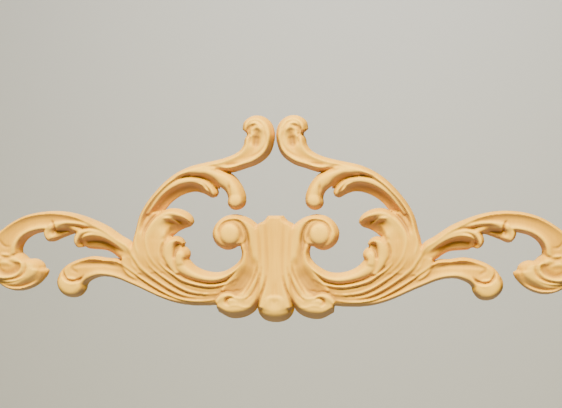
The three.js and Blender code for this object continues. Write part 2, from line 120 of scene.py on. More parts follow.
# %% Bands of the wing
SHELL_SIDE = [(5.4, 36.7), (6.4, 35.2), (8.8, 32.8), (12, 31.2), (15, 27), (15.4, 20), (14.6, 10), (13.4, 0),
              (12.6, -10), (12.8, -20), (13, -27)]
BANDS = {
    "shell_body": dict(
        outer=SHELL_SIDE,
        inner=[(-out, up) for out, up in SHELL_SIDE],
        rise=[12, 12.2, 12.2, 12.4, 13], profiles=[SHELL], flanks=[(2, 2)]),
    "shell_flank": dict(
        outer=[(14, 18), (13, 6), (13, -4), (16, -11), (20, -16.5), (26, -17.8), (32, -15.6), (38, -16.2),
               (41.9, -20.8)],
        inner=[(2, 18), (5, 6), (7.4, -6), (9.4, -16), (12, -25), (15, -30.2), (22, -34.2), (31.4, -35),
               (40.4, -30.6)],
        rise=[11, 11.5, 12, 12, 13, 13], profiles=[TRUNK],
        flanks=[(2, 2), (2, 2), (2, 2), (2, 4), (2, 5.5), (2, 5.5)]),
    "cheek": dict(
        outer=[(22, 36.4), (16.4, 33.4), (11, 28), (8, 18), (7, 9), (8, 0), (11.6, -10), (17, -18),
               (24, -25)],
        inner=[(25.5, 30), (25.6, 26), (25.4, 20.4), (24.4, 15), (23.7, 11), (25, 5.4), (29.5, -2),
               (35, -8), (39, -14)],
        rise=[12, 12.2, 12.2, 12.2, 12.2, 12, 11.8, 11.4, 11],
        profiles=[CHEEK_TOP, CHEEK_TOP, CHEEK_TOP, CHEEK, CHEEK, BASIN_START, BASIN, BASIN, BASIN],
        flanks=[(2.2, 1), (2.2, 1), (2, 1.4), (2, 2.4), (2, 2.6), (2, 2)]),
    "volute_ring": dict(
        outer=[(17.4, 33.6), (20.4, 35.4), (27.6, 37.7), (35.6, 36.2), (41.6, 31.4), (44.3, 25),
               (43, 18.8), (38.8, 14.4), (33.6, 12.8), (28.8, 14), (26, 16.2)],
        inner=[(19.4, 29), (22.4, 30), (27, 31.4), (32, 31.6), (36, 29.6), (37.6, 24.6), (36.6, 20),
               (34.6, 17.6), (31.6, 16.8), (29.4, 17.4), (28, 18.6)],
        rise=[12.2, 12.8, 13, 12.8, 12.4], profiles=[RIM, RIM, RIM_FLAT, RIM_UNDER, RIM_UNDER],
        flanks=[(2, 1)]),
    "stem_core": dict(
        outer=[(22, 10), (31, 0), (44, -4), (57, 0), (66, 8), (76, 18), (85, 29)],
        inner=[(24, -20), (34, -24.6), (46, -25.6), (60, -25.6), (76, -22.2), (92, -16), (104, -9)],
        rise=[7.4, 9, 9.4, 9.4, 9.8, 9.8], profiles=[ROLLED]),
    "trunk_core": dict(
        outer=[(99, -4), (103.4, 8), (101.4, 16.6), (98.4, 25), (94, 33), (90, 40)],
        inner=[(76, -2), (74, 8), (72.6, 15), (72.8, 21), (75, 26), (80.6, 39)],
        rise=[10.4, 11.8, 11.8, 9.6, 7.4], profiles=[CORE], flanks=[(1.6, 1.2)]),
    "crotch_core": dict(
        outer=[(88, 4), (96, 9), (103, 11), (108, 9.4)],
        inner=[(88, -16), (97, -11), (104, -7), (109.6, 1)],
        rise=[5, 10.8, 11.2], profiles=[CORE]),
    "lobe_stem": dict(
        outer=[(22, 13), (25, 5.8), (30.5, 1), (37, -2.3), (44, -3), (51, -1.6), (57, 1.4), (61, 5.6),
               (64, 11)],
        inner=[(20.4, 9), (22.4, 1.4), (27.6, -4.6), (35, -8.8), (44, -10.4), (53, -9.4), (61, -7.2),
               (70, -2.8), (77.6, 4.4)],
        rise=[11.2, 12.4, 12.5, 12.5, 11.8], profiles=[ROLLED],
        flanks=[(2.2, 3), (2.2, 2), (2.2, 1.2), (2.2, 1.2), (2.2, 2)]),
    "lobe_two": dict(
        outer=[(72, -4), (76.4, 1), (79.2, 7), (79.6, 13), (77.6, 18.4), (74.4, 21.4), (70, 22.4),
               (66, 20.6), (64, 17.6)],
        inner=[(66, -3), (68.6, 2), (70, 7.4), (70.2, 11.6), (69.8, 15.4), (69, 17.2), (67.8, 18),
               (66.4, 17.4), (65, 16)],
        rise=[11.6, 12.6, 13, 13, 11.4], profiles=[CRESCENT], flanks=[(1.6, .8)]),
    "arch": dict(
        outer=[(40, -18.4), (50, -19), (60, -18), (70, -14.4), (79, -9.2), (87, -3.2), (94, 4), (99, 12),
               (100.8, 18.5), (99, 26), (96, 37), (91, 46), (85, 53.5), (78, 60.7), (70, 66.6),
               (60, 71.3), (50, 73.8), (42, 75.4)],
        inner=[(40, -15.6), (49, -16.4), (58, -14.8), (67, -11), (76, -5.2), (83, -0.2), (88, 6),
               (90.5, 14), (91.5, 21), (90.5, 28), (87, 36), (82, 42), (76, 49), (70, 55), (62, 59.5),
               (53, 60.6), (45, 57.8), (39.4, 55.2)],
        rise=[10.5, 11.2, 11.6, 12.6, 13.2, 13.5, 13.5, 12],
        profiles=[REED_LOW, REED_LOW, REED_LOW, REED_LOW, REED_LOW, TRUNK, TRUNK, SHELF_START,
                  SHELF_START, SHELF, SHELF, SHELF_WIDE, SHELF_END],
        flanks=[(1.2, 1.2), (1.2, 1.2), (1.2, 1.2), (2, 1.6), (2, 3), (2, 3.2), (2, 3.2)]),
    "arch_leaf": dict(
        outer=[(93, 38), (88, 48), (82, 55.4), (75, 60.8), (66, 64.6), (56, 65), (48, 62.4), (42.4, 57.4),
               (40.3, 53), (41.6, 50.2)],
        inner=[(84, 37.5), (78.7, 41), (74.5, 45.6), (69.5, 49.4), (63, 52.4), (56, 53.5), (50.5, 52.2),
               (47, 50.4), (45.4, 49.5), (44, 49.2)],
        rise=[10, 11.5, 11.5, 11.4, 10.4], profiles=[LEAF_SIDE, LEAF_SIDE, LEAF_SIDE, LEAF_END, LEAF_END],
        flanks=[(2, 3), (2, 3.4), (1.8, 2)]),
    "drop": dict(
        outer=[(56, 72), (47, 71.8), (38, 69.4), (29.5, 65.1), (25, 59.8), (22, 54), (20.9, 49),
               (22, 44.2), (25, 41.3)],
        inner=[(60, 63.6), (50, 64), (43.4, 61.2), (39, 57), (35.6, 54.4), (33.6, 51), (33, 47.6),
               (32.6, 44), (29.5, 41.1)],
        rise=[13, 13, 12.5, 12, 8], profiles=[ROLLED], flanks=[(2, 1.6), (2, 1.6), (2, 2), (2, 3)]),
    "neck": dict(
        outer=[(64, 69.4), (54, 72.7), (45, 74.8), (36, 77), (29, 79.6), (24.6, 82.5), (22, 86.4),
               (21.2, 90.4), (19.6, 92.8), (18.2, 94), (17.2, 94.4), (16.4, 94.2), (16.2, 93.2),
               (17, 92.2)],
        inner=[(62, 64), (52, 66.6), (42, 67), (31, 66.8), (21, 69.7), (12, 73), (4.6, 79), (1.3, 87),
               (0.6, 94), (3, 101.4), (8.8, 105.9), (15.8, 106.2), (21.6, 102.4), (22.9, 97)],
        rise=[13, 12.5, 12.5, 13, 13.5, 13.5, 12.5],
        profiles=[TRUNK, TRUNK, CHANNEL, CHANNEL, CHANNEL, BOWL, BOWL, BOWL],
        flanks=[(2, 3), (2, 3.6), (2, 3.2), (1.6, 2.8), (1, 2.4)]),
    "arm": dict(
        outer=[(46, -18.6), (56, -18.8), (66, -16.4), (76, -11.2), (85, -4.8), (93, 2.6), (98.6, 11),
               (102.5, 17.9), (110, 22.6), (120, 29.3), (130, 33.9), (140, 37.4), (150, 39.5), (160, 40),
               (170, 39), (180, 36.2), (190, 30.7), (198, 24), (202.4, 16), (203, 8)],
        inner=[(46, -20.6), (56, -21.2), (66, -20), (76, -15.8), (85, -10.8), (93, -5.6), (101, -0.6),
               (106, 3), (110.7, 6.6), (118, 13), (127, 18), (137, 23), (148, 25.5), (158, 25.6),
               (166, 25.2), (174, 23), (179.6, 19), (182.4, 14), (182.6, 10), (183.5, 5)],
        rise=[10, 10.8, 11.6, 12.8, 13.4, 13.8, 14, 13.5, 12.5],
        profiles=[REED_HIGH, REED_HIGH, REED_HIGH, TRUNK, SHELF_START, SHELF_START, FLUTE, FLUTE, FLUTE,
                  FLUTE, FLUTE_END],
        flanks=[(1.2, 1.2), (1.2, 1.2), (1.6, 2.2), (1, 2.8), (.9, 2.8), (.9, 2.4)]),
    "arm_leaf_two": dict(
        outer=[(100, 14), (108, 20), (116, 25), (124, 28.6), (132, 29.6), (138.6, 28.2), (142.4, 24),
               (143.5, 19.6), (142, 16), (139.6, 14.5)],
        inner=[(103, 4), (110.7, 6.6), (115, 9.8), (120, 12.2), (125.5, 12.9), (130, 13.2), (133, 13.6),
               (134.6, 14.6), (136.4, 14.8), (138, 14.4)],
        rise=[12, 12.8, 13, 13, 12], profiles=[TRUNK, ARM_SIDE, ARM_SIDE, ARM_SIDE, TRUNK],
        flanks=[(2, 2.4)]),
    "arm_leaf_one": dict(
        outer=[(126, 32), (134, 33.6), (142, 34.6), (150, 34.8), (157, 33.8), (162.6, 31), (165.2, 26),
               (164, 21.2), (161.6, 18.9)],
        inner=[(124, 22), (131, 23), (138, 24), (144, 24), (149, 22.4), (152.6, 21), (155, 20), (157, 19),
               (159.2, 18.3)],
        rise=[12, 13.4, 13.8, 13, 11.5], profiles=[ARM_SIDE, ARM_SIDE, ARM_SIDE, TRUNK, ROLLED_LONG],
        flanks=[(2, 2.4)]),
    "branch": dict(
        outer=[(40, -19.5), (50, -21), (60, -21), (70, -19), (80, -14), (89, -8.8), (97, -3.6), (104, 1),
               (111.5, 6.2), (120, 6.8), (130, 8), (138, 6.5), (145, 4), (151, 0), (155, -5.4)],
        inner=[(40, -25.8), (50, -26.4), (60, -26.2), (70, -24.7), (80, -21.5), (89, -17.6), (97, -13.9),
               (104, -11), (110, -8.5), (117, -6.7), (124, -6.4), (129.4, -8), (133.6, -10.4),
               (135.4, -13), (137.4, -16)],
        rise=[9.6, 10.4, 11, 11.2, 11.5, 11, 11],
        profiles=[REED_HIGH, REED_HIGH, FLUTE, FLUTE, FLUTE, FLUTE_END, ROLLED_LONG],
        flanks=[(1.2, 2.2), (1, 2.2), (1.2, 3)]),
    "leaf": dict(
        outer=[(28, -12), (36, -14.8), (46, -16.6), (56, -15.6), (66, -11.8), (76, -5.4), (85, 1.6),
               (91, 12), (92.5, 23), (88.5, 31.6), (83, 37.6), (77, 41.3), (71, 41.9), (65.5, 40.6),
               (61, 38), (58.4, 34.6), (58, 32)],
        inner=[(26, -4), (34, -8.4), (44, -10.4), (54, -9.2), (63, -6.6), (71, -2), (77.5, 3.4),
               (79.6, 9), (79, 15.5), (76.6, 20), (72.6, 22.8), (69.4, 25.3), (66.6, 26.9), (64.2, 27.9),
               (62.2, 28.5), (60.6, 29.1), (59.4, 30)],
        rise=[10.5, 11.8, 12, 12.5, 13, 13.5, 12.5],
        profiles=[REED_LOW, REED_LOW, REED_LOW, TRUNK, TRUNK, LEAF_CURL, LEAF_CURL, LEAF_CURL],
        flanks=[(1.2, 1.2), (1.2, 1.2), (1.2, 1.2), (1.2, 1.6), (1.6, 2), (2, 2)]),
}
print("bands", len(BANDS))

# %% Bosses of the wing
BOSSES = {
    "basin_core": dict(
        heart=(22, -10), rise=8.2, rings=[(0, 1), (.5, 1), (.8, 1)],
        outline=[(12, 2), (20, 7), (27, 1), (37, -6), (38, -16), (32, -26), (20, -27), (11, -18),
                 (9, -8)]),
    "shell_foot": dict(
        heart=(0, -23), rise=13.8, rings=[(0, .94), (.4, 1), (.58, .93), (.8, .7)],
        outline=[(12.8, -25), (12, -31), (8.8, -35.2), (3.6, -37.3), (-3.6, -37.3), (-8.8, -35.2),
                 (-12, -31), (-12.8, -25), (-10, -17), (0, -14), (10, -17)]),
    "volute_floor": dict(
        heart=(30, 25), rise=11.2, rings=[(0, 1), (.5, 1), (.8, 1)],
        outline=[(20, 34), (27, 36.4), (35, 35.2), (40.6, 30.6), (42.8, 24.6), (41, 18.6), (36, 14.6),
                 (29.4, 15), (24.6, 15.6), (20, 17), (18, 25)]),
    "scroll_floor": dict(
        heart=(13, 93), rise=10, rings=[(0, .96), (.5, 1), (.8, 1)],
        outline=[(20, 97), (17, 102), (9, 102), (4, 95), (5, 87), (12, 83), (18.6, 87), (19.4, 91.6)]),
    "eye": dict(
        heart=(30.6, 25), rise=14.4, rings=[(0, 1), (.45, .98), (.72, .93), (.9, .84)],
        outline=[(30.8, 32.4), (35.6, 30.8), (38.4, 26), (37.8, 20.4), (33.6, 16.6), (28, 16.8),
                 (24.4, 21), (24.6, 28)]),
    "drop_ball": dict(
        heart=(27.2, 47.5), rise=13, rings=[(0, 1), (.5, .94), (.8, .74)],
        outline=[(20.9, 48), (21.8, 44), (24.6, 41.5), (28.3, 40.7), (31.5, 42), (33.4, 45), (33, 49),
                 (30.5, 54), (24, 54)]),
    "lobe_floor": dict(
        heart=(69, 14), rise=8.8, rings=[(0, 1), (.5, 1), (.8, 1)],
        outline=[(70, 22), (65.4, 19), (64.6, 15), (63, 10), (64, 2), (72, 1), (78, 8), (78, 17)]),
    "lobe_three": dict(
        heart=(67, 8.6), rise=13.2, rings=[(0, 1), (.4, .98), (.62, .86), (.82, .66)],
        outline=[(66, 15.3), (63, 14.2), (61, 11.6), (60.8, 8.6), (62.4, 4.6), (61.6, -1), (69, -3),
                 (70.8, 3), (70.8, 9), (69.4, 13)]),
    "hook": dict(
        heart=(193, 2.5), rise=13.6,
        rings=[(0, .93), (.2, .92), (.34, .86), (.62, .95), (.74, .9), (.86, .76), (.92, .72)],
        outline=[(203, 8), (204, 1), (202, -6), (197.5, -12), (191, -15.6), (184.5, -16.8),
                 (177.5, -15.7), (171, -12.4), (166.4, -8.2), (164, -4.8), (163.4, -2), (165.6, -0.6),
                 (166.6, 2.2), (169.4, 4.8), (173.4, 6.1), (177.4, 6), (180, 8.4), (184, 11),
                 (195, 12.5)]),
    "branch_ball": dict(
        heart=(146, -12), rise=13, rings=[(0, 1), (.5, .95), (.8, .78)],
        outline=[(156.2, -8), (156, -13.4), (153.4, -17.6), (149.4, -20.4), (145, -21.3), (140.6, -20.6),
                 (137.4, -18), (135.4, -14), (136.4, -9), (141, -5), (148, -3.6), (153.4, -3.6)]),
}
print("bosses", len(BOSSES))

# %% [markdown]
# ## Rails, bands and bosses
# The rails are smooth curves through the drawn points, the same centripetal curves that the solid
# model uses, but sampled finely. Across a limb a smooth curve through the profile's few levels gives
# round crests and hollow flutes instead of facets.

# %% Smooth curves
def path_length(points):
    """Length of the straight lines between the points."""
    return np.linalg.norm(np.diff(np.array(points, float), axis=0), axis=1).sum()


def rail(points, steps, closed=False):
    """Centripetal Catmull-Rom curve through the points, at evenly spaced parameters."""
    p = np.array(points, float)
    count = len(p)
    spans = count if closed else count - 1
    if closed:
        before, after = p[-1], p[:2]
        q = np.vstack([before, p, after])
    else:
        q = np.vstack([2 * p[0] - p[1], p, 2 * p[-1] - p[-2]])
    place = np.linspace(0, spans, steps + 1)
    span = np.minimum(place.astype(int), spans - 1)
    t = (place - span)[:, None]
    a, b, c, d = q[span], q[span + 1], q[span + 2], q[span + 3]
    knot = [np.maximum(np.linalg.norm(v, axis=1), 1e-4)[:, None] ** 0.5 for v in (b - a, c - b, d - c)]
    start = ((b - a) / knot[0] - (c - a) / (knot[0] + knot[1]) + (c - b) / knot[1]) * knot[1]
    end = ((c - b) / knot[1] - (d - b) / (knot[1] + knot[2]) + (d - c) / knot[2]) * knot[1]
    cubic = 2 * b - 2 * c + start + end
    square = -3 * b + 3 * c - 2 * start - end
    return ((cubic * t + square) * t + start) * t + b


def along(values, t):
    """A value that eases through evenly spaced ones."""
    values = np.array(values, float)
    if len(values) == 1:
        return np.repeat(values, len(t), axis=0)
    place = np.clip(t, 0, 1) * (len(values) - 1)
    first = np.minimum(place.astype(int), len(values) - 2)
    u = place - first
    u = u * u * (3 - 2 * u)
    u = u.reshape(-1, *[1] * (values.ndim - 1))
    return values[first] * (1 - u) + values[first + 1] * u


def smooth_levels(profile, shares):
    """A curve through the profile's points that never swings past them."""
    x = np.array([point[0] for point in profile], float)
    y = np.array([point[1] for point in profile], float)
    step = np.diff(x)
    grade = np.diff(y) / step
    slope = np.zeros(len(x))
    same = grade[1:] * grade[:-1] > 0
    slope[1:-1][same] = (2 * grade[1:] * grade[:-1] / (grade[1:] + grade[:-1]))[same]
    slope[0], slope[-1] = grade[0], grade[-1]
    i = np.clip(np.searchsorted(x, shares, side="right") - 1, 0, len(step) - 1)
    t = (shares - x[i]) / step[i]
    h = step[i]
    return (y[i] * (1 + 2 * t) * (1 - t) ** 2 + slope[i] * h * t * (1 - t) ** 2
            + y[i + 1] * t * t * (3 - 2 * t) + slope[i + 1] * h * t * t * (t - 1))


# %% A band and a boss as a fine skin
ACROSS_STEP = 0.4
FEWEST_ACROSS = 33
FLANK = 7
RAIL_STEP = 0.6
FEWEST_RAIL_STEPS = 24
FEWEST_RIM_STEPS = 40
FEWEST_STROKE_STEPS = 8
BOSS_RINGS = 24
ROUND_FLANK = 1.9
STRAIGHT_FLANK = 1.15
NARROW_FLANK = 2.4
WIDE_FLANK = 4.0
WIDEST_FLANK = 0.42


def band_skin(outer, inner, rise, profiles, flanks=(SLOPE,)):
    """Corners [along, across, (out, up, level)] and the limb's outline."""
    steps = max(FEWEST_RAIL_STEPS, int(path_length(outer) / RAIL_STEP))
    near, far = rail(outer, steps), rail(inner, steps)
    t = np.linspace(0, 1, steps + 1)
    span = np.maximum(np.linalg.norm(near - far, axis=1), NARROWEST_SPAN)
    flank = along(flanks, t)
    start = np.minimum(flank[:, 0] / span, WIDEST_FLANK)
    end = 1 - np.minimum(flank[:, 1] / span, WIDEST_FLANK)
    shares = np.linspace(0, 1, max(FEWEST_ACROSS, int(span.max() / ACROSS_STEP)))
    levels = along([smooth_levels(profile, shares) for profile in profiles], t)
    levels = np.maximum(levels * along(rise, t)[:, None], EDGE)
    place = np.linspace(0, 1, FLANK, endpoint=False)
    straight = np.clip((flank - NARROW_FLANK) / (WIDE_FLANK - NARROW_FLANK), 0, 1)
    roundness = ROUND_FLANK + (STRAIGHT_FLANK - ROUND_FLANK) * straight
    left_share = start[:, None] * place
    left_level = EDGE + (levels[:, :1] - EDGE) * (1 - (1 - place) ** roundness[:, :1])
    right_share = 1 - (1 - end)[:, None] * place[::-1]
    right_level = EDGE + (levels[:, -1:] - EDGE) * (1 - (1 - place[::-1]) ** roundness[:, 1:])
    middle = start[:, None] + (end - start)[:, None] * shares
    share = np.hstack([left_share, middle, right_share])
    level = np.hstack([left_level, levels, right_level])
    xy = near[:, None] * (1 - share[..., None]) + far[:, None] * share[..., None]
    return np.dstack([xy, level]), np.vstack([near, far[::-1]])


def boss_skin(heart, outline, rise, rings):
    """The same for a knob, in rings from its heart to its rim."""
    steps = max(FEWEST_RIM_STEPS, int(path_length(outline + outline[:1]) / RAIL_STEP))
    rim = rail(outline, steps, closed=True)
    share = np.linspace(0, 1, BOSS_RINGS)
    profile = [(s, level * rise) for s, level in rings] + [(1, EDGE)]
    level = smooth_levels(profile, share)
    heart = np.array(heart, float)
    xy = heart + (rim[None] - heart) * share[:, None, None]
    return np.dstack([xy, np.repeat(level[:, None], steps + 1, axis=1)]), rim[:-1]


# %% [markdown]
# ## From limbs to one surface
# The carving is one surface that a tool can reach from above, so a fine grid of levels can hold it. A
# ray dropped on every limb at each grid point gives its level, and the highest one wins. The outline
# is kept as a signed distance, which later gives a smooth sawn edge between the grid points.

# %% Drop the limbs on the grid
OUT = np.arange(0, GRID_OUT + CELL, CELL)
UP = np.arange(GRID_DOWN, GRID_UP + CELL, CELL)
NO_LEVEL = -1.0
FAR_OUTSIDE = -9.0
REACH = 2.0
RAY_START = 40
level_map = np.full((len(UP), len(OUT)), NO_LEVEL)
inside_map = np.full((len(UP), len(OUT)), FAR_OUTSIDE)


def window(low, high):
    """The part of the grid between two corners: its index, its points out and up."""
    columns = np.flatnonzero((OUT >= low[0]) & (OUT <= high[0]))
    rows = np.flatnonzero((UP >= low[1]) & (UP <= high[1]))
    return np.ix_(rows, columns), *np.meshgrid(OUT[columns], UP[rows])


def signed_distance(points, outline):
    """Distance to a closed outline, positive inside."""
    a = outline
    b = np.roll(outline, -1, axis=0)
    best = np.full(len(points), 1e9)
    crossings = np.zeros(len(points), int)
    x, y = points[:, 0], points[:, 1]
    for (ax, ay), (bx, by) in zip(a, b):
        dx, dy = bx - ax, by - ay
        t = np.clip(((x - ax) * dx + (y - ay) * dy) / max(dx * dx + dy * dy, 1e-12), 0, 1)
        best = np.minimum(best, (x - ax - t * dx) ** 2 + (y - ay - t * dy) ** 2)
        if ay != by:
            over = ((ay > y) != (by > y)) & (x < (bx - ax) * (y - ay) / (by - ay) + ax)
            crossings += over
    return np.where(crossings % 2 == 1, 1, -1) * np.sqrt(best)


def drop(skin, outline):
    """Raises the grid to one limb's skin."""
    rows, columns = skin.shape[:2]
    corners = [tuple(p) for p in skin.reshape(-1, 3)]
    faces = [(i * columns + j, i * columns + j + 1, (i + 1) * columns + j + 1, (i + 1) * columns + j)
             for i in range(rows - 1) for j in range(columns - 1)]
    tree = BVHTree.FromPolygons(corners, faces)
    spot, x, y = window(outline.min(0) - REACH, outline.max(0) + REACH)
    distance = signed_distance(np.stack([x.ravel(), y.ravel()], 1), outline).reshape(x.shape)
    inside_map[spot] = np.maximum(inside_map[spot], distance)
    down = Vector((0, 0, -1))
    level = np.full(x.shape, NO_LEVEL)
    for row, column in zip(*np.nonzero(distance > 0)):
        hit = tree.ray_cast(Vector((x[row, column], y[row, column], RAY_START)), down)[0]
        level[row, column] = hit.z if hit else EDGE
    level_map[spot] = np.maximum(level_map[spot], level)


for limb in BANDS.values():
    drop(*band_skin(**limb))
for limb in BOSSES.values():
    drop(*boss_skin(**limb))
print("grid", level_map.shape, "covered", int((inside_map > 0).sum()), "highest", round(level_map.max(), 2))

# %% [markdown]
# ## Gouge strokes
# On the roughed-out limbs the carver cuts the fine lines: the crease round a curl, the parting line
# between two reeds, the thin raised lip that is left between two cuts. A stroke is a path, then its
# widths and its depths along the way. It lowers the surface, and a negative depth leaves a raised lip.
# No cut goes below a floor that rises from the edge inwards, and the edge itself is rounded over.

